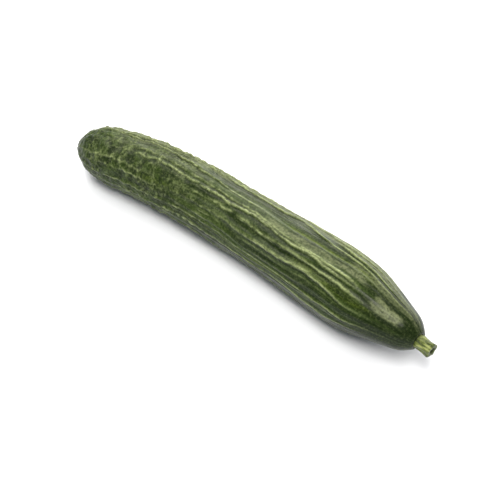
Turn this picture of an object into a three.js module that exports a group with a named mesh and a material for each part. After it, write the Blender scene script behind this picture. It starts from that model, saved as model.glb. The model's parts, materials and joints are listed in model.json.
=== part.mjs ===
// A whole greenhouse cucumber lying on its side, as picked: one long ribbed fruit, slightly bowed, with a short
// cut stem. Millimetres, +Z up. +X runs from the blossom end to the stem. The origin is on the surface that the
// cucumber lies on, under the middle of its box.
import * as THREE from "three";
import { mergeVertices } from "three/addons/utils/BufferGeometryUtils.js";

// Driving dimensions of the fruit
const fruitLength = 300;
const bowAtMiddle = 12.7; // how far the middle of the fruit stands off the straight line between its ends
const ribCount = 20;
const ribHeight = 0.85; // furrow to crest, on the belly
const flatLength = 110; // the pressed spot that it rests on
const flatWidth = 8;

// Driving dimensions of the stem
const stemLength = 12;
const stemRadius = 4; // at its waist
const stemRibCount = 5;
const stemGap = 0.3; // between the stem's foot and the fruit

// Where the fruit's blossom tip lies, so that the origin is under the middle of the whole box
const blossomTip = new THREE.Vector3(-156, -9.2, 0);

// The smooth outline, from the blossom tip to the stem: distance along the fruit, and radius there
const outlinePoints = [
  [0.8, 0],
  [0.1, 3.4],
  [2.7, 8.3],
  [9.4, 14.7],
  [21, 19.6],
  [44, 22.2],
  [80, 22.9],
  [120, 22.9],
  [160, 23.6],
  [195, 24.6],
  [225, 25.1],
  [243, 24.9],
  [255, 23.8],
  [270, 20.4],
  [284, 16.5],
  [293, 13.2],
  [298, 9.3],
  [299.8, 5.2],
  [300, 0],
];
const outline = new THREE.CatmullRomCurve3(
  outlinePoints.map(([along, radius]) => new THREE.Vector3(along, radius, 0)),
  false,
  "centripetal",
);
outline.arcLengthDivisions = 2000;

// The mesh is a box whose sides are rolled round: this many steps on each of its four sides, which gives five
// columns to a rib, and this many rings between its two rounded ends
const sideSteps = (ribCount * 5) / 4;
const ringSteps = 47;
const blossomCapArc = 27; // length of the outline on the square grid that closes the blossom end
const stemCapArc = 25;
const firstRingShare = 0.6; // the rings stand closer at the crumpled blossom end than at the stem

// The centre line bows sideways, most of all near the blossom end, and rises a little towards the fuller stem end
const bowLean = -5.8;
const bowEndTurn = 4;
const bellyHeight = 23.5;
const bellyRise = 0.0144;

function centreLine(along) {
  const u = (2 * along) / fruitLength - 1;
  const bow = (1 - u * u) * (bowAtMiddle + bowLean * u + bowEndTurn * u * u);
  const height = bellyHeight + bellyRise * (along - fruitLength / 2);
  return new THREE.Vector3(along, bow, height);
}

function acrossCentreLine(along) {
  const step = 0.5;
  const heading = centreLine(along + step).sub(centreLine(along - step));
  return new THREE.Vector3(-heading.y, heading.x, 0).normalize();
}

// The skin's uneven growth is a sum of waves. Each has a size, a length along the fruit in mm per radian, how many
// times it goes round the fruit, and a phase.
function sumOfWaves(waves, angle, along) {
  return waves.reduce(
    (sum, [size, length, turns, phase]) => sum + size * Math.sin(along / length + turns * angle + phase),
    0,
  );
}

// How unevenly the ribs are spaced and how they wander, as parts of a rib's width
const ribDriftWaves = [
  [1.1, Infinity, 2, 1.1],
  [0.9, Infinity, 3, 0.4],
  [0.6, Infinity, 5, 2],
  [0.8, 27, 0, 0.9],
  [0.5, 13.5, 2, 2.1],
  [0.3, 7.3, -3, 0],
];
// How much taller or lower a rib stands than its neighbours
const ribHeightWaves = [
  [0.3, Infinity, 3, 1.3],
  [0.25, 38, 7, 0],
];
const meanRibHeight = 0.85;
// Broad swellings of the whole body, in mm
const swellWaves = [
  [0.35, 19, 2, 0.7],
  [0.25, 31, -3, 2.2],
];
const lumpHeight = 0.32;

// Where the relief changes, in mm from the blossom tip
const ribsRise = [4, 60]; // out of the blossom tip, to part of their height
const ribsFull = [40, 130]; // to all of it, where the crumpled half ends
const partHeight = 0.35;
const shoulder = [235, 290]; // the ribs nearly fade out towards the stem
const shoulderFade = 0.9;
const crumpleFade = [60, 170]; // the lumps of the blossom half fade out
const blossomRim = [0, 14];
const stemRim = [284, 298];

function smooth(along, [from, to]) {
  return THREE.MathUtils.smoothstep(along, from, to);
}

// How far a rib has drifted round the fruit, in radians
function ribDrift(angle, along) {
  return sumOfWaves(ribDriftWaves, angle, along) / ribCount;
}

// Height of the ribs over the smooth outline: rounded crests, and furrows that are wider than they are
function ribRelief(angle, along) {
  const crest = Math.pow(0.5 + 0.5 * Math.cos(ribCount * (angle + Math.PI / 4)), 1.3);
  const uneven = meanRibHeight + sumOfWaves(ribHeightWaves, angle, along);
  const rise = partHeight * smooth(along, ribsRise) + (1 - partHeight) * smooth(along, ribsFull);
  const onShoulder = 1 - shoulderFade * smooth(along, shoulder);
  return ribHeight * uneven * rise * onShoulder * (crest - 0.4);
}

// The broad swellings, and the shallow lumps that the blossom half is crumpled into
function lumpRelief(angle, along) {
  const swell = sumOfWaves(swellWaves, angle, along);
  const lumps =
    Math.sin(along / 4.6 + 3 * Math.sin(2 * angle)) * Math.sin(7 * angle + along / 11) +
    0.7 * Math.sin(along / 3.3 - 5 * angle) * Math.sin(11 * angle + 1.7);
  const crumpled = lumpHeight * (1 - smooth(along, crumpleFade));
  const awayFromTips = smooth(along, blossomRim) * (1 - smooth(along, stemRim));
  return awayFromTips * (swell + crumpled * lumps);
}

// One point of the skin, from how far along the outline it is and its angle: 0 is +Y, a quarter turn is up
function skinPoint(share, angle) {
  const onOutline = outline.getPointAt(share);
  const along = outline.getTangentAt(share);
  const relief = ribRelief(angle, onOutline.x) + lumpRelief(angle, onOutline.x);
  const station = onOutline.x - along.y * relief;
  const radius = onOutline.y + along.x * relief;
  const turned = angle + ribDrift(angle, onOutline.x);
  return centreLine(station)
    .addScaledVector(acrossCentreLine(station), radius * Math.cos(turned))
    .add(new THREE.Vector3(0, 0, radius * Math.sin(turned)));
}

// The underside is pressed flat where the cucumber lies on the surface
function pressFlat(point) {
  const middle = fruitLength / 2;
  const sideways = point.y - centreLine(point.x).y;
  const underMiddle = Math.abs(point.x - middle) < flatLength / 2 && Math.abs(sideways) < flatWidth / 2;
  const low = point.z < bellyHeight / 2;
  if (low && (underMiddle || point.z < 0)) point.z = 0;
}

// Angle of a point of the square, so that the rings of a square grid become evenly divided circles
function angleOnSquare(v, w) {
  const quarter = Math.PI / 4;
  if (Math.abs(v) >= Math.abs(w)) return quarter * (w / v) + (v < 0 ? Math.PI : 0);
  return Math.PI / 2 - quarter * (v / w) + (w < 0 ? Math.PI : 0);
}

function fruitGeometry() {
  const box = new THREE.BoxGeometry(1, 2, 2, ringSteps, sideSteps, sideSteps);
  box.deleteAttribute("normal");
  box.deleteAttribute("uv");
  const geometry = mergeVertices(box, 1e-5);
  const position = geometry.attributes.position;
  const whole = outline.getLength();
  const sideArc = whole - blossomCapArc - stemCapArc;
  for (let i = 0; i < position.count; i++) {
    const t = position.getX(i) + 0.5;
    const v = position.getY(i);
    const w = position.getZ(i);
    const fromCentre = Math.max(Math.abs(v), Math.abs(w));
    const spread = firstRingShare * t + (1 - firstRingShare) * t * t;
    let arc = blossomCapArc + sideArc * spread;
    if (t < 1e-6) arc = blossomCapArc * fromCentre;
    if (t > 1 - 1e-6) arc = whole - stemCapArc * fromCentre;
    const point = skinPoint(arc / whole, angleOnSquare(v, w));
    pressFlat(point);
    position.setXYZ(i, point.x, point.y, point.z);
  }
  geometry.computeVertexNormals();
  return geometry;
}

// The stem: distance from its foot, and radius. It flares where it joins the fruit and swells a little at the cut,
// whose face is sunk in the middle.
const stemProfile = [
  [0, 0],
  [0, 5.1],
  [0.7, 5.0],
  [2, 4.4],
  [4, stemRadius],
  [7, stemRadius * 0.97],
  [10, stemRadius * 1.06],
  [stemLength - 1, stemRadius * 1.13],
  [stemLength - 0.2, stemRadius * 1.06],
  [stemLength, stemRadius * 0.85],
  [stemLength - 0.4, stemRadius * 0.5],
  [stemLength - 0.9, 0],
];
const stemSegments = 40;
const stemRibHeight = 0.45;
const stemRibsRise = [0, 3]; // in mm from its foot
const stemTwist = 0.03; // radians per mm
const stemDroop = 1.3; // how far its cut end hangs below its foot's axis
const stemSwing = -1.2; // and how far it leans aside

function stemGeometry() {
  const lathe = new THREE.LatheGeometry(
    stemProfile.map(([out, radius]) => new THREE.Vector2(radius, out)),
    stemSegments,
  );
  lathe.deleteAttribute("normal");
  lathe.deleteAttribute("uv");
  const geometry = mergeVertices(lathe, 1e-4);
  const position = geometry.attributes.position;
  for (let i = 0; i < position.count; i++) {
    const out = position.getY(i);
    const angle = Math.atan2(position.getX(i), position.getZ(i));
    const plain = Math.hypot(position.getX(i), position.getZ(i));
    const turned = angle + stemTwist * out;
    const ribs = stemRibHeight * Math.cos(stemRibCount * turned) * smooth(out, stemRibsRise);
    const radius = plain * (1 + ribs / stemRadius);
    const bend = (out / stemLength) ** 2;
    position.setXYZ(
      i,
      radius * Math.sin(angle) + stemSwing * bend,
      out,
      radius * Math.cos(angle) - stemDroop * bend,
    );
  }
  geometry.rotateZ(-Math.PI / 2); // its length from +Y to +X, and its side from +X to -Y
  geometry.computeVertexNormals();
  return geometry;
}

const skin = new THREE.MeshStandardMaterial({ color: 0x3c5a2a, roughness: 0.42, metalness: 0 });
const stemSkin = new THREE.MeshStandardMaterial({ color: 0x7f9a45, roughness: 0.6, metalness: 0 });

const fruit = new THREE.Mesh(fruitGeometry(), skin);
fruit.name = "fruit";

const stem = new THREE.Mesh(stemGeometry(), stemSkin);
stem.name = "stem";
const heading = acrossCentreLine(fruitLength);
stem.rotation.z = Math.atan2(-heading.x, heading.y);
stem.position
  .copy(centreLine(fruitLength))
  .addScaledVector(new THREE.Vector3(heading.y, -heading.x, 0), stemGap);

const cucumber = new THREE.Group();
cucumber.add(fruit, stem);
cucumber.position.copy(blossomTip);

export default cucumber;
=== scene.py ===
import json
import math

import bpy
import numpy as np
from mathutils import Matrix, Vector, noise

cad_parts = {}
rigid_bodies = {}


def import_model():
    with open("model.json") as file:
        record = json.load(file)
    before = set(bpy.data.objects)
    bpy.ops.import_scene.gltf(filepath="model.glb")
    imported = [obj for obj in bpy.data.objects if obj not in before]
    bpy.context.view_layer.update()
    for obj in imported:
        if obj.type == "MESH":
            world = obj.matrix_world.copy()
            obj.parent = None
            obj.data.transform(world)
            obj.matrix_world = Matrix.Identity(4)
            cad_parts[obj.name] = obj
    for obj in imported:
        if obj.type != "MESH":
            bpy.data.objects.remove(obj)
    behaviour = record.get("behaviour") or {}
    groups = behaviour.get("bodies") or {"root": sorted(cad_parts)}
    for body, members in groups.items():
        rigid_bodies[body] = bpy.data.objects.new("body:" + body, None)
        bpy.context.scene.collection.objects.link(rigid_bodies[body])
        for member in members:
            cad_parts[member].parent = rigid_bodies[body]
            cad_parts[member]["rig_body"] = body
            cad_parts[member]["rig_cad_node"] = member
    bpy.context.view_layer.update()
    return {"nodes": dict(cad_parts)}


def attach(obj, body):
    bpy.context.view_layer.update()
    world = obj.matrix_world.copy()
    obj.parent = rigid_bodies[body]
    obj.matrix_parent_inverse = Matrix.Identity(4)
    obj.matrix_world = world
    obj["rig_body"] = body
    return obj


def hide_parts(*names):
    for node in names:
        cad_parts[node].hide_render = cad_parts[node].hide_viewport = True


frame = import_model()
mm = 0.001

# The table is a plain white round top that runs out of the picture on all sides. It is lit so brightly that
# only the shadow under the cucumber shows on it.
table_radius = 0.9
table_sunk = 0.02 * mm
paper_white = (0.83, 0.85, 0.95, 1)
bpy.ops.object.select_all(action="DESELECT")
bpy.ops.mesh.primitive_circle_add(
    vertices=96, radius=table_radius, fill_type="NGON", location=(0, 0, -table_sunk))
table = bpy.context.active_object
table.name = "table"
table_white = bpy.data.materials.new("table_white")
table_white.use_nodes = True
table_shader = table_white.node_tree.nodes["Principled BSDF"]
table_shader.inputs["Base Color"].default_value = paper_white
table_shader.inputs["Roughness"].default_value = 0.9
table_shader.inputs["Specular IOR Level"].default_value = 0.1
table.data.materials.append(table_white)

# The camera looks down on the cucumber from its stem end, from the height that the photograph was taken at
camera_azimuth = math.radians(38.0)
camera_elevation = math.radians(49.4)
camera_distance = 825 * mm
camera_target = Vector((9.4, -11.8, 20)) * mm
towards_camera = Vector((
    math.sin(camera_azimuth) * math.cos(camera_elevation),
    -math.cos(camera_azimuth) * math.cos(camera_elevation),
    math.sin(camera_elevation),
))
bpy.ops.object.camera_add(location=camera_target + towards_camera * camera_distance)
camera = bpy.context.active_object
camera.rotation_euler = (-towards_camera).to_track_quat("-Z", "Y").to_euler()
camera.data.lens = 85
camera.data.sensor_width = 36
camera.data.clip_start = 0.05
camera.data.clip_end = 20
bpy.context.scene.camera = camera
bpy.context.scene.view_settings.view_transform = "Standard"

# Three lamps with diffusers hang above the table, and a lit card stands behind it. All are turned towards the
# middle of the cucumber.
cucumber_middle = Vector((0, 0, 0.02))
warm_white = (1, 0.97, 0.86)


def soft_box(name, place, size, brightness):
    bpy.ops.object.light_add(type="AREA", location=place)
    lamp = bpy.context.active_object
    lamp.name = name
    lamp.rotation_euler = (cucumber_middle - Vector(place)).to_track_quat("-Z", "Y").to_euler()
    lamp.data.shape = "RECTANGLE"
    lamp.data.size, lamp.data.size_y = size
    lamp.data.energy = brightness * math.pi * size[0] * size[1]
    lamp.data.color = warm_white


soft_box("left_lamp", (-0.62, 0.11, 1.05), (0.85, 0.75), 4)
soft_box("right_lamp", (0.27, -0.34, 1.12), (0.42, 0.65), 15)
soft_box("back_left_lamp", (-0.65, 0.78, 0.8), (0.8, 0.8), 4)
soft_box("back_card", (0.0, 1.5, 0.5), (2.4, 0.9), 4)

# The studio's walls are white up to a little above eye level, and its ceiling is dim
wall_brightness, ceiling_brightness = 1.0, 0.27
wall_top, ceiling_start = 0.05, 0.2
studio = bpy.data.worlds.new("studio")
studio.use_nodes = True
direction = studio.node_tree.nodes.new("ShaderNodeTexCoord")
height_seen = studio.node_tree.nodes.new("ShaderNodeSeparateXYZ")
room = studio.node_tree.nodes.new("ShaderNodeMapRange")
room.inputs["From Min"].default_value = wall_top
room.inputs["From Max"].default_value = ceiling_start
room.inputs["To Min"].default_value = wall_brightness
room.inputs["To Max"].default_value = ceiling_brightness
studio.node_tree.links.new(direction.outputs["Generated"], height_seen.inputs[0])
studio.node_tree.links.new(height_seen.outputs["Z"], room.inputs["Value"])
studio.node_tree.links.new(room.outputs[0], studio.node_tree.nodes["Background"].inputs["Strength"])
studio.node_tree.nodes["Background"].inputs["Color"].default_value = (1, 1, 1, 1)
bpy.context.scene.world = studio

# The fruit is one long berry with a thin waxy green skin, grown in one piece. Twenty wavy ribs run along it,
# with pale raised lines on and between them. The blossom half is crumpled, and the shoulder at the stem is
# smooth.
fruit_length = 300 * mm
blossom_tip = Vector((-156.0, -9.2, 0)) * mm
bow_at_middle, bow_lean, bow_end_turn = 12.7 * mm, -5.8 * mm, 4 * mm
belly_height, belly_rise = 23.5 * mm, 0.0144
skin_radius = 24 * mm
rib_count = 20
rib_width = 2 * math.pi * skin_radius / rib_count
first_rib_angle = -math.pi / 4
# Each wave has a size as a part of a rib's width, a length along the fruit per radian, turns and a phase
rib_drift_waves = [
    (1.1, math.inf, 2, 1.1),
    (0.9, math.inf, 3, 0.4),
    (0.6, math.inf, 5, 2),
    (0.8, 27 * mm, 0, 0.9),
    (0.5, 13.5 * mm, 2, 2.1),
    (0.3, 7.3 * mm, -3, 0),
]


def copy_of_solid(node, name):
    """A merged copy of a CAD node, in quads, free of the frame, as the start of a finished piece."""
    bpy.ops.object.select_all(action="DESELECT")
    solid = frame["nodes"][node]
    solid.select_set(True)
    bpy.context.view_layer.objects.active = solid
    bpy.ops.object.duplicate()
    piece = bpy.context.active_object
    piece.name = name
    piece.parent = None
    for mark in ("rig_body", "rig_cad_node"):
        del piece[mark]
    piece.data.materials.clear()
    bpy.ops.object.mode_set(mode="EDIT")
    bpy.ops.mesh.customdata_custom_splitnormals_clear()
    bpy.ops.mesh.select_all(action="SELECT")
    bpy.ops.mesh.remove_doubles(threshold=0.01 * mm)
    bpy.ops.mesh.tris_convert_to_quads(face_threshold=math.pi, shape_threshold=math.pi)
    bpy.ops.object.mode_set(mode="OBJECT")
    return piece


def subdivide_smoothly(piece, levels):
    bpy.ops.object.modifier_add(type="SUBSURF")
    finer = piece.modifiers[-1]
    finer.levels = finer.render_levels = levels
    bpy.ops.object.modifier_apply(modifier=finer.name)
    bpy.ops.object.shade_smooth()


def read_points(piece, what):
    """The vertices' places or normals as rows of a numpy array."""
    source, key = (piece.data.vertices, "co") if what == "places" else (piece.data.vertex_normals, "vector")
    values = np.empty(3 * len(piece.data.vertices))
    source.foreach_get(key, values)
    return values.reshape(-1, 3)


def move_points(piece, places):
    piece.data.vertices.foreach_set("co", places.ravel())
    piece.data.update()


def keep_on_points(piece, values_by_name):
    """Stores numbers or vectors for each vertex, for the material to read."""
    for name, values in values_by_name.items():
        kind, key = ("FLOAT", "value") if values.ndim == 1 else ("FLOAT_VECTOR", "vector")
        attribute = piece.data.attributes.new(name, kind, "POINT")
        attribute.data.foreach_set(key, values.astype(np.float32).ravel())


def smooth(value, start, end):
    """0 before the start, 1 after the end, and an S-curve between them."""
    t = np.clip((value - start) / (end - start), 0, 1)
    return t * t * (3 - 2 * t)


def hump(off, width):
    """1 in the middle, fading to both sides over the width."""
    return np.exp(-(off / width) ** 2)


def sum_of_waves(waves, angle, along):
    return sum(size * np.sin(along / length + turns * angle + phase) for size, length, turns, phase in waves)


def bow_at(along):
    u = 2 * along / fruit_length - 1
    return (1 - u * u) * (bow_at_middle + bow_lean * u + bow_end_turn * u * u)


def grown_place(places):
    """How far along the fruit each point is, and its angle among the ribs, both closed in on step by step."""
    step = 0.1 * mm
    from_tip = places - np.array(blossom_tip)
    along = from_tip[:, 0].copy()
    for _ in range(4):
        slope = (bow_at(along + step) - bow_at(along - step)) / (2 * step)
        along += ((from_tip[:, 0] - along) + (from_tip[:, 1] - bow_at(along)) * slope) / (1 + slope ** 2)
    heading = np.stack([np.ones_like(slope), slope], 1) / np.hypot(1, slope)[:, None]
    out = -(from_tip[:, 0] - along) * heading[:, 1] + (from_tip[:, 1] - bow_at(along)) * heading[:, 0]
    up = from_tip[:, 2] - belly_height - belly_rise * (along - fruit_length / 2)
    turned = np.arctan2(up, out)
    angle = turned.copy()
    for _ in range(12):
        angle = turned - sum_of_waves(rib_drift_waves, angle, along) / rib_count
    return along, angle


def noise_at(points):
    return np.fromiter((noise.noise(Vector(point)) for point in points), float, len(points))


fruit = copy_of_solid("fruit", "fruit_skin")
subdivide_smoothly(fruit, 2)
places, normals = read_points(fruit, "places"), read_points(fruit, "normals")
along, angle = grown_place(places)

# Where the skin changes along the fruit: 1 at the crumpled blossom end, 1 on the smooth shoulder, and 1
# everywhere but at the very tips
crumples_fade, crumples_end = 70 * mm, 190 * mm
shoulder_start, shoulder_full = 240 * mm, 282 * mm
crumpled = 1 - smooth(along, crumples_fade, crumples_end)
on_shoulder = smooth(along, shoulder_start, shoulder_full)
relief_start, relief_full = 0.5 * mm, 6 * mm
relief_fades, relief_end = 288 * mm, 298 * mm
off_tips = smooth(along, relief_start, relief_full) * (1 - smooth(along, relief_fades, relief_end))

# Coordinates that grow with the skin: patterns in them are drawn out along the ribs on the stem half, and lie
# across them on the crumpled half
least_stretch, further_stretch = 0.8, 10.7
stretch_steps = np.linspace(-5 * mm, fruit_length + 5 * mm, 400)
stretch_there = least_stretch + further_stretch * smooth(stretch_steps, crumples_fade, crumples_end)
unstretched = np.concatenate([[0], np.cumsum(np.diff(stretch_steps) / stretch_there[1:])])
grown = np.stack([
    np.interp(along, stretch_steps, unstretched),
    skin_radius * np.cos(angle),
    skin_radius * np.sin(angle),
], 1)

# The raised lines of the side that lies upwards, each as stations: mm from the blossom tip, the rib it is on,
# where 6.5 is halfway between the seventh rib and the eighth, and how strong it is
raised_lines = [
    [(40, 4.9, 0.8), (120, 5.0, 1), (180, 4.8, 1), (215, 5.1, 1), (250, 5.6, 1.2), (280, 6.0, 1.4)],
    [(60, 4.2, 0.7), (150, 4.3, 1), (230, 4.3, 1), (275, 5.0, 1)],
    [(20, 6.2, 0.6), (60, 6.0, 1.3), (119, 5.7, 1.4), (150, 6.0, 1.2), (174, 6.1, 1.3), (192, 5.75, 1.3),
     (208, 6.25, 1.2), (240, 7.0, 1.1), (262, 7.35, 1.4), (285, 7.3, 1.5)],
    [(215, 5.6, 0), (232, 6.1, 1.2), (245, 6.4, 1.4), (262, 6.65, 1.5), (282, 6.6, 1.5)],
    [(25, 6.4, 0), (40, 6.45, 1), (86, 7.0, 1.2), (112, 7.3, 0.8), (150, 7.7, 0.5), (185, 7.8, 0)],
    [(40, 8.1, 0.2), (100, 8.2, 0.4), (176, 8.5, 0.7), (215, 8.65, 1), (242, 8.8, 1), (257, 8.85, 0)],
    [(40, 8.7, 0.3), (80, 8.65, 0.8), (108, 8.65, 0.9), (140, 8.8, 1), (174, 8.65, 1), (200, 8.8, 1),
     (212, 8.75, 1), (230, 9.0, 0.8), (242, 9.05, 0.7), (258, 9.1, 0)],
    [(100, 9.4, 0.2), (150, 9.3, 0.6), (180, 9.35, 0.7), (200, 9.2, 0.7), (220, 9.4, 0.9), (240, 9.45, 1),
     (250, 9.5, 0.9), (265, 9.6, 0)],
    [(100, 10.1, 0.2), (168, 10.05, 0.5), (178, 10.0, 1), (212, 9.9, 1), (230, 10.1, 1), (240, 10.3, 0.8),
     (250, 10.5, 0.5), (278, 10.5, 0.2)],
    [(8, 9.8, 0.3), (30, 9.75, 0.6), (60, 9.85, 0.4), (75, 9.9, 0)],
    [(25, 10.5, 0.3), (55, 10.45, 0.5), (90, 10.6, 0), (112, 10.6, 0), (125, 10.55, 0.5), (150, 10.5, 0),
     (175, 10.45, 0.3), (205, 10.5, 0.1), (215, 10.5, 0.3), (245, 10.75, 0.1)],
    [(110, 11, 0), (122, 11.05, 0.4), (145, 11.0, 0.3), (160, 11.1, 0), (190, 11.1, 0.3), (225, 11, 0)],
    [(15, 12, 0.4), (98, 11.75, 0.6), (166, 11.55, 0.6), (190, 11.65, 0.8), (240, 11.85, 0.8),
     (285, 11.9, 0.4)],
    [(20, 12.9, 0.4), (96, 12.7, 0.7), (140, 12.65, 0.7), (174, 12.65, 0.8), (190, 12.6, 0.7),
     (240, 12.85, 0.8), (285, 12.6, 0.3)],
]
# Grooves where the skin stayed thin and shows the yellow-green flesh, in the same way
thin_grooves = [
    [(180, 7.45, 0), (195, 7.5, 1), (250, 7.7, 1), (265, 7.8, 0)],
    [(195, 9.7, 0), (210, 9.75, 0.6), (240, 9.9, 1), (266, 10.0, 1), (276, 10, 0)],
    [(90, 12.05, 0.2), (125, 11.95, 0.9), (200, 11.95, 0.9), (240, 12.1, 0.5), (265, 12.1, 0)],
    [(60, 10.2, 0), (75, 10.2, 0.5), (100, 10.1, 0.3), (115, 10.1, 0)],
]
# Patches of pale wax, each as the stations and the ribs that it lies between, and its thickness. These listed
# ones are painted highlights, the reflections of the lamps on the side that lies upwards.
bloom_and_highlight_patches = [
    (172, 255, 7.9, 8.65, 1),
    (238, 298, 5.5, 6.5, 0.65),
    (240, 298, 7.1, 8.1, 0.6),
    (269, 289, 8.3, 9.7, 1.2),
    (30, 110, 7.2, 8.4, 0.2),
    (35, 105, 6.2, 7.2, 0.5),
    (12, 125, 4.4, 6.3, 0.8),
    (40, 275, 3.6, 5.9, 0.7),
]

# The other ribs have a line each, which strays from its rib and comes and goes, and a short groove each. More
# bloom is scattered over them.
other_ribs = range(14, 26)
rng = np.random.default_rng(5)
for rib in other_ribs:
    strength = rng.uniform(0.4, 1.0)
    raised_lines.append([(station, rib + rng.uniform(-0.25, 0.25), strength * rng.uniform(0.5, 1.0))
                         for station in range(15, 290, 35)])
for rib in other_ribs:
    start = rng.uniform(90, 200)
    thin_grooves.append([(start, rib + 0.4, 0), (start + 20, rib + 0.45, rng.uniform(0, 1)),
                         (start + 55, rib + 0.5, 0)])
for _ in range(9):
    start, first_rib = rng.uniform(20, 240), rng.uniform(13, 24)
    bloom_and_highlight_patches.append((start, start + rng.uniform(20, 60), first_rib, first_rib + rng.uniform(0.4, 1),
                          rng.uniform(0.2, 0.6)))

rib_turn = rib_count * (angle - first_rib_angle) / (2 * math.pi)


def noise_on_lines(length, change_per_rib, shift):
    """Noise of this length along a line, which changes by this much from one rib to the next."""
    return noise_at(np.stack([along / length, change_per_rib * rib_turn + shift, 0 * along], 1))


# The lines wander a little across the ribs, more where the skin is crumpled, and break up into beads there
wander = 0.1 * noise_on_lines(13 * mm, 0.4, 0)
wander += (0.06 + 0.14 * crumpled) * noise_on_lines(4 * mm, 0.6, 40)
beads_fade, beads_end = 130 * mm, 230 * mm
beaded = 1 - smooth(along, beads_fade, beads_end)
beads = np.maximum(1 + 2 * beaded * noise_on_lines(3.2 * mm, 0.8, 80), 0)

# The lines fade out past their ends over this many mm
line_fade = 12


def beside_line(line):
    """How far each point stands off the line across the ribs, and the line's strength there."""
    stations, ribs, strengths = np.array(line).T
    off = rib_turn + wander - np.interp(along / mm, stations, ribs)
    off = (off + rib_count / 2) % rib_count - rib_count / 2
    begun = smooth(along / mm, stations[0] - line_fade, stations[0])
    ended = smooth(along / mm, stations[-1], stations[-1] + line_fade)
    return off * rib_width, np.interp(along / mm, stations, strengths) * (begun * (1 - ended))


# Each line is a thin crest on a broader ridge, with an undercut along one side that is also painted dark as
# shade
line_width, ridge_width, groove_width = 0.65 * mm, 1.9 * mm, 1.4 * mm
undercut_off, undercut_width = 2.1 * line_width, 1.1 * line_width
crest_line, ridge, undercut_and_shade, thin_skin = (np.zeros(len(along)) for _ in range(4))
for raised in raised_lines:
    off, strength = beside_line(raised)
    crest_line = np.maximum(crest_line, strength * hump(off, line_width))
    ridge = np.maximum(ridge, strength * hump(off, ridge_width))
    undercut_and_shade = np.maximum(undercut_and_shade, strength * hump(off - undercut_off, undercut_width))
for groove in thin_grooves:
    off, strength = beside_line(groove)
    thin_skin = np.maximum(thin_skin, strength * hump(off, groove_width))


def drawn_place(along_size, round_size):
    """Places for a pattern whose marks have these sizes, in mm, along the fruit and round it."""
    return np.stack([along / along_size, grown[:, 1] / round_size, grown[:, 2] / round_size], 1) / mm


# Fine streaks run along the stem half. The blossom half has crinkles that lie across the fruit, fine raised
# lines between them, and broader crumples.
streaks = noise_at(grown / (2.2 * mm))
fine_streaks = noise_at(grown / (1.1 * mm) + 31.7)
across = drawn_place(2.4, 6)
across += 0.7 * noise_at(grown / (8 * mm) + 90)[:, None]
crinkles = noise_at(across)
crinkle_line = hump(crinkles, 0.17) * smooth(noise_at(across * 0.4 + 17), -0.2, 0.15)
fine_crinkles = noise_at(across * 2.1 + 17)
crumples = noise_at(grown / (6.5 * mm) + 11.1)

# The bloom and the painted highlights lie in their patches with ragged edges, and are frothy. They fade at
# the ends of a patch, in mm, and at its sides, in ribs.
froth = noise_at(drawn_place(2.2, 1.4) + 55)
ragged = noise_at(drawn_place(9, 3) + 70)
end_fade, side_fade = 2.5, 0.25
bloom_and_highlight = np.zeros(len(along))
for start, end, first_rib, last_rib, thickness in bloom_and_highlight_patches:
    ribs_in = (rib_turn + wander + 0.15 * ragged - first_rib) % rib_count
    ribs_wide = last_rib - first_rib
    station = along / mm + 4 * ragged
    begun = smooth(station, start - end_fade, start + end_fade)
    ended = smooth(station, end - end_fade, end + end_fade)
    sides = smooth(ribs_in, 0, side_fade) * (1 - smooth(ribs_in, ribs_wide - side_fade, ribs_wide))
    bloom_and_highlight = np.maximum(bloom_and_highlight, thickness * (begun * (1 - ended)) * sides)
bloom_and_highlight *= 0.4 + 0.6 * smooth(froth, -0.45, 0.25)

# How far each kind of relief stands up, or is cut in
crest_height, ridge_height, undercut_depth, groove_depth = 0.28 * mm, 0.7 * mm, 0.35 * mm, 0.12 * mm
streak_height, fine_streak_height = 0.18 * mm, 0.1 * mm
crumple_height, crinkle_height, fine_crinkle_height = 0.75 * mm, 0.45 * mm, 0.12 * mm
crinkle_line_height, bloom_height = 0.35 * mm, 0.1 * mm
not_shoulder = 1 - 0.9 * on_shoulder
line_height = crest_height * crest_line + ridge_height * ridge - undercut_depth * undercut_and_shade
height = not_shoulder * (0.5 + 0.5 * beads) * line_height
height -= groove_depth * thin_skin
height += not_shoulder * (streak_height * streaks + fine_streak_height * fine_streaks)
height += crumpled * (crumple_height * crumples + crinkle_height * crinkles)
height += crumpled * (fine_crinkle_height * fine_crinkles + crinkle_line_height * crinkle_line)
height += bloom_height * bloom_and_highlight
height *= off_tips
places += normals * height[:, None]

# The skin swells into a soft collar round the stem's foot, with a hollow in it that the foot sits in
collar_radius, collar_width, collar_height, hollow_depth = 6.4 * mm, 2.4 * mm, 1.8 * mm, 1.2 * mm
stem_foot = blossom_tip + Vector((fruit_length, 0, belly_height + belly_rise * fruit_length / 2))
stem_heading = Vector((1, (bow_at(fruit_length) - bow_at(fruit_length - mm)) / mm, 0)).normalized()
foot_place, stem_along = np.array(stem_foot), np.array(stem_heading)
from_foot = places - foot_place
off_axis = np.linalg.norm(from_foot - (from_foot @ stem_along)[:, None] * stem_along, axis=1)
collar_start, collar_full = 280 * mm, 294 * mm
hollow_floor, hollow_edge = 3 * mm, 5 * mm
near_foot = smooth(along, collar_start, collar_full)
collar = collar_height * hump(off_axis - collar_radius, collar_width)
collar -= hollow_depth * (1 - smooth(off_axis, hollow_floor, hollow_edge))
places += stem_along * (near_foot * collar)[:, None]

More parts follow.
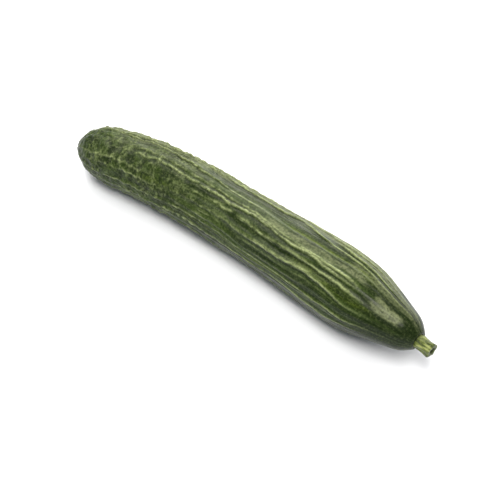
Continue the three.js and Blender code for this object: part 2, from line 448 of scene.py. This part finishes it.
# At the blossom end it closes round a sunken corky scar with a low rim, and is pleated round that. Points
# away from that end count as a metre further from the scar, so that it leaves them alone.
scar_radius, rim_width, pleats_radius, pleats_width = 3 * mm, 0.8 * mm, 5 * mm, 3 * mm
scar_depth, rim_height, pleat_depth = 0.7 * mm, 0.35 * mm, 0.9 * mm
scar_across = places[:, 1] - blossom_tip.y - bow_at(0)
scar_up = places[:, 2] - blossom_tip.z - belly_height + belly_rise * fruit_length / 2
from_scar = np.hypot(scar_across, scar_up) + (along > 20 * mm)
scar_ray = np.stack([scar_across, scar_up, 0 * scar_up], 1) / from_scar[:, None]
scar_edge = scar_radius * (1 + 0.35 * noise_at(1.7 * scar_ray))
scar = 1 - smooth(from_scar / scar_edge, 0.7, 1.1)
scar_middle = 1 - smooth(from_scar / scar_edge, 0.2, 0.7)
scar_rim = hump(from_scar - scar_edge - rim_width, rim_width)
pleats = noise_at(4.5 * scar_ray + 20) * hump(from_scar - pleats_radius, pleats_width)
places[:, 0] += scar_depth * scar - rim_height * scar_rim + pleat_depth * pleats

# No relief reaches below the level that the cucumber stands on
places[:, 2] = np.maximum(places[:, 2], 0)
move_points(fruit, places)

keep_on_points(fruit, {
    "grown": grown / mm,
    "scar": scar + 0.35 * scar_rim,
    "scar_middle": scar_middle,
    "crest_line": np.minimum(crest_line * beads * (1 - 0.7 * on_shoulder - 0.1 * crumpled), 1),
    "crumpled": crumpled,
    "undercut_and_shade": undercut_and_shade * not_shoulder,
    "thin_skin": thin_skin,
    "crinkle_line": crinkle_line * crumpled,
    "bloom_and_highlight": bloom_and_highlight,
    "raised": height / mm,
    "shoulder": on_shoulder,
})


def new_material(name):
    material = bpy.data.materials.new(name)
    material.use_nodes = True
    return material, material.node_tree.nodes["Principled BSDF"]


def set_socket(material, socket, value):
    """Sets a socket to a value, or links it where the value is another socket."""
    if isinstance(value, bpy.types.NodeSocket):
        material.node_tree.links.new(value, socket)
    else:
        socket.default_value = value


def add_node(material, kind, inputs=(), **settings):
    """A shader node with these properties, and inputs given by each socket's name or number."""
    node = material.node_tree.nodes.new("ShaderNode" + kind)
    for name, value in settings.items():
        setattr(node, name, value)
    for socket, value in dict(inputs).items():
        set_socket(material, node.inputs[socket], value)
    return node


def on_points(material, name):
    return add_node(material, "Attribute", attribute_name=name).outputs["Fac"]


def pattern(material, place, scale, detail, **more):
    """A noise texture of so many marks per unit of place."""
    inputs = {"Vector": place, "Scale": scale, "Detail": detail, **more}
    return add_node(material, "TexNoise", inputs).outputs["Fac"]


def mixed(material, share, first, second):
    """Colour between first and second, by share."""
    return add_node(material, "Mix", {0: share, 6: first, 7: second}, data_type="RGBA").outputs[2]


def mapped(material, value, start, end, low=0.0, high=1.0):
    """The value, mapped from start..end to low..high and held there."""
    inputs = {"Value": value, "From Min": start, "From Max": end, "To Min": low, "To Max": high}
    return add_node(material, "MapRange", inputs, interpolation_type="SMOOTHSTEP").outputs[0]


def worked_out(material, first, operation, second=0.0):
    return add_node(material, "Math", {0: first, 1: second}, operation=operation).outputs[0]


def times(material, first, second):
    return worked_out(material, first, "MULTIPLY", second)


def plus(material, first, second):
    return worked_out(material, first, "ADD", second)


# Under the wax the skin is mottled in two dark greens, with painted shade making it darker in hollows and on
# the shoulder
skin, skin_shader = new_material("cucumber_skin")
dark_green = (0.008, 0.016, 0.003, 1)
mid_green = (0.03, 0.053, 0.008, 1)
pale_green = (0.33, 0.385, 0.18, 1)
# pale wax green, for the bloom and for painted highlights of the lamps
bloom_and_highlight_green = (0.17, 0.195, 0.1, 1)
fresh_green = (0.09, 0.13, 0.01, 1)
cork = (0.10, 0.075, 0.028, 1)
pale_cork = (0.38, 0.31, 0.17, 1)
skin_place = add_node(skin, "Attribute", attribute_name="grown").outputs["Vector"]
blotches = pattern(skin, skin_place, 0.11, 3.0)
mottle = pattern(skin, skin_place, 0.45, 5.0, Roughness=0.65)
tone_and_painted_shade = plus(skin, times(skin, blotches, 0.45), times(skin, mottle, 0.55))
# Painted shade and light: darker where the relief sinks, lighter where it stands up, and darker on the
# shoulder
tone_and_painted_shade = plus(skin, tone_and_painted_shade, times(skin, on_points(skin, "raised"), 0.16))
tone_and_painted_shade = plus(skin, tone_and_painted_shade, times(skin, on_points(skin, "shoulder"), -0.1))
colour = mixed(skin, mapped(skin, tone_and_painted_shade, 0.36, 0.66), dark_green, mid_green)

# The crumpled half is covered with wrinkles finer than its mesh, which show as thin pale threads
folds = pattern(skin, skin_place, 0.4, 1.0, Distortion=0.4)
off_fold = worked_out(skin, plus(skin, folds, -0.5), "ABSOLUTE")
wrinkles = times(skin, mapped(skin, off_fold, 0.03, 0.0), on_points(skin, "crumpled"))

# Over that come the painted shade under the lines, the grooves, the lines, the crinkles, the bloom with
# painted highlights, and the wrinkles, each with where it lies, how strongly it covers and its colour. The
# grooves, lines and crinkles are patchy, as the mottle is.
fresh = times(skin, on_points(skin, "thin_skin"), mapped(skin, mottle, 0.35, 0.6))
pale_line = times(skin, on_points(skin, "crest_line"), mapped(skin, mottle, 0.28, 0.6))
# Pale threads on the crinkles: partly the skin's own colour, partly painted highlight where the crinkles
# catch the light
pale_crinkle_and_highlight = times(skin, on_points(skin, "crinkle_line"), mapped(skin, mottle, 0.35, 0.6))
for where, strength, tint in (
    # painted shade along the undercut side of each line
    (on_points(skin, "undercut_and_shade"), 0.9, dark_green),
    (fresh, 0.7, fresh_green),
    (pale_line, 0.9, pale_green),
    (pale_crinkle_and_highlight, 0.3, pale_green),
    # bloom, and painted highlights of the lamps, in pale wax green
    (on_points(skin, "bloom_and_highlight"), 0.7, bloom_and_highlight_green),
    (wrinkles, 0.12, pale_green),
):
    colour = mixed(skin, times(skin, where, strength), colour, tint)

# The scar is cork, paler in its middle, and fine pores cover everything
solid_place = add_node(skin, "TexCoord").outputs["Object"]
pores = pattern(skin, solid_place, 0.7 / mm, 3.0, Roughness=0.6)
dried = mixed(skin, times(skin, on_points(skin, "scar_middle"), pores), cork, pale_cork)
colour = mixed(skin, on_points(skin, "scar"), colour, dried)
colour = mixed(skin, times(skin, mapped(skin, pores, 0.45, 0.75), 0.12), colour, pale_green)
colour = mixed(skin, times(skin, mapped(skin, pores, 0.55, 0.3), 0.6), colour, dark_green)
set_socket(skin, skin_shader.inputs["Base Color"], colour)
relief = plus(skin, pores, times(skin, wrinkles, 1.2))
grain = add_node(skin, "Bump", {"Height": relief, "Distance": 0.25 * mm, "Strength": 0.3})
set_socket(skin, skin_shader.inputs["Normal"], grain.outputs["Normal"])

# The bare wax shines, and the bloom and painted highlight patches, the crumpled half and the scar are duller
roughness = mapped(skin, mottle, 0.3, 0.7, 0.23, 0.32)
for what, dullness in (("bloom_and_highlight", 0.1), ("crumpled", 0.13), ("scar", 0.3)):
    roughness = plus(skin, roughness, times(skin, on_points(skin, what), dullness))
set_socket(skin, skin_shader.inputs["Roughness"], roughness)
skin_shader.inputs["IOR"].default_value = 1.25
fruit.data.materials.append(skin)
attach(fruit, "root")
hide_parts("fruit")

# The stem is a short stub of the stalk that the fruit hung from: five-sided, light green and fibrous. It was
# cut straight across, and its foot is grown into the end of the fruit.
stem = copy_of_solid("stem", "stem_stub")
subdivide_smoothly(stem, 2)
stem_length, stem_droop, stem_swing = 12 * mm, 1.3 * mm, 1.2 * mm
stem_side = np.array((-stem_heading.y, stem_heading.x, 0))
places = read_points(stem, "places") - foot_place
out = places @ stem_along
bend = (out / stem_length) ** 2
sideways = places @ stem_side - stem_swing * bend
upwards = places[:, 2] + stem_droop * bend
around = np.arctan2(sideways, upwards)
from_middle = np.hypot(sideways, upwards)


def noise_round_stem(coarseness, along_stem):
    return noise_at(np.stack([coarseness * np.cos(around), coarseness * np.sin(around), along_stem], 1))


# Its foot is sunk into the collar, and it is a little fuller than the solid above that. Fibres stand out
# along it, and the pith has shrunk back into the rough cut face.
foot_sunk, pith_shrunk, cut_roughness = 1.8 * mm, 1.4 * mm, 0.25 * mm
fibre_height, fine_fibre_height = 0.55 * mm, 0.25 * mm
on_cut = smooth(out, stem_length - 1.2 * mm, stem_length - 0.5 * mm)
on_side = smooth(from_middle, 2.6 * mm, 3.4 * mm)
fibres = noise_round_stem(2.6, out / (9 * mm))
fine_fibres = noise_round_stem(6, out / (4 * mm) + 30)
fuller = 0.95 + 0.2 * smooth(out, 0, 3.5 * mm)
fibre_relief = on_side * (fibre_height * fibres + fine_fibre_height * fine_fibres) * (1 - 0.6 * on_cut)
new_radius = from_middle * fuller + fibre_relief
pith = on_cut * (1 - smooth(from_middle, 1.2 * mm, 2.4 * mm))
new_out = out - foot_sunk * (1 - smooth(out, 0, 2.5 * mm)) - pith_shrunk * pith
new_out += cut_roughness * on_cut * on_side * noise_round_stem(2, 0 * out)
places = (
    foot_place
    + new_out[:, None] * stem_along
    + (stem_swing * bend + new_radius * np.sin(around))[:, None] * stem_side
    + (new_radius * np.cos(around) - stem_droop * bend)[:, None] * np.array((0, 0, 1))
)
move_points(stem, places)
keep_on_points(stem, {
    "fibres": fibres + 0.6 * fine_fibres,
    "cut_face": on_cut * (1 - smooth(from_middle, 3.2 * mm, 4 * mm)),
    "pith": pith,
    "foot": 1 - smooth(out, 0.3 * mm, 3 * mm),
})

# Light green between the fibres, paler on them and in flecks, and darker on the cut. The foot is darkened
# with painted shade where it sinks into the collar, and the shrunk pith is near-black, partly dried pith and
# partly painted shade in its hollow.
stem_skin, stem_shader = new_material("stem_green")
stem_dark = (0.034, 0.05, 0.009, 1)
stem_light = (0.095, 0.125, 0.018, 1)
stem_pale = (0.25, 0.28, 0.09, 1)
# near-black, for the dried pith and the painted shade in its hollow
dried_pith_and_shade = (0.008, 0.011, 0.003, 1)
stem_place = add_node(stem_skin, "TexCoord").outputs["Object"]
flecks = pattern(stem_skin, stem_place, 0.9 / mm, 3.0)
fibre_share = on_points(stem_skin, "fibres")
colour = mixed(stem_skin, mapped(stem_skin, fibre_share, -0.35, 0.2), stem_dark, stem_light)
colour = mixed(stem_skin, mapped(stem_skin, fibre_share, 0.15, 0.6), colour, stem_pale)
for where, strength, tint in (
    (mapped(stem_skin, flecks, 0.5, 0.7), 0.5, stem_pale),
    # painted shade at the foot, where it sinks into the collar
    (on_points(stem_skin, "foot"), 0.7, stem_dark),
    (on_points(stem_skin, "cut_face"), 0.7, stem_dark),
    (on_points(stem_skin, "pith"), 1.0, dried_pith_and_shade),
):
    colour = mixed(stem_skin, times(stem_skin, where, strength), colour, tint)
set_socket(stem_skin, stem_shader.inputs["Base Color"], colour)
set_socket(stem_skin, stem_shader.inputs["Roughness"], mapped(stem_skin, flecks, 0.35, 0.65, 0.36, 0.52))
stem_shader.inputs["IOR"].default_value = 1.38
stem_grain = add_node(stem_skin, "Bump", {"Height": flecks, "Distance": 0.2 * mm, "Strength": 0.4})
set_socket(stem_skin, stem_shader.inputs["Normal"], stem_grain.outputs["Normal"])
stem.data.materials.append(stem_skin)
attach(stem, "root")
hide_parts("stem")
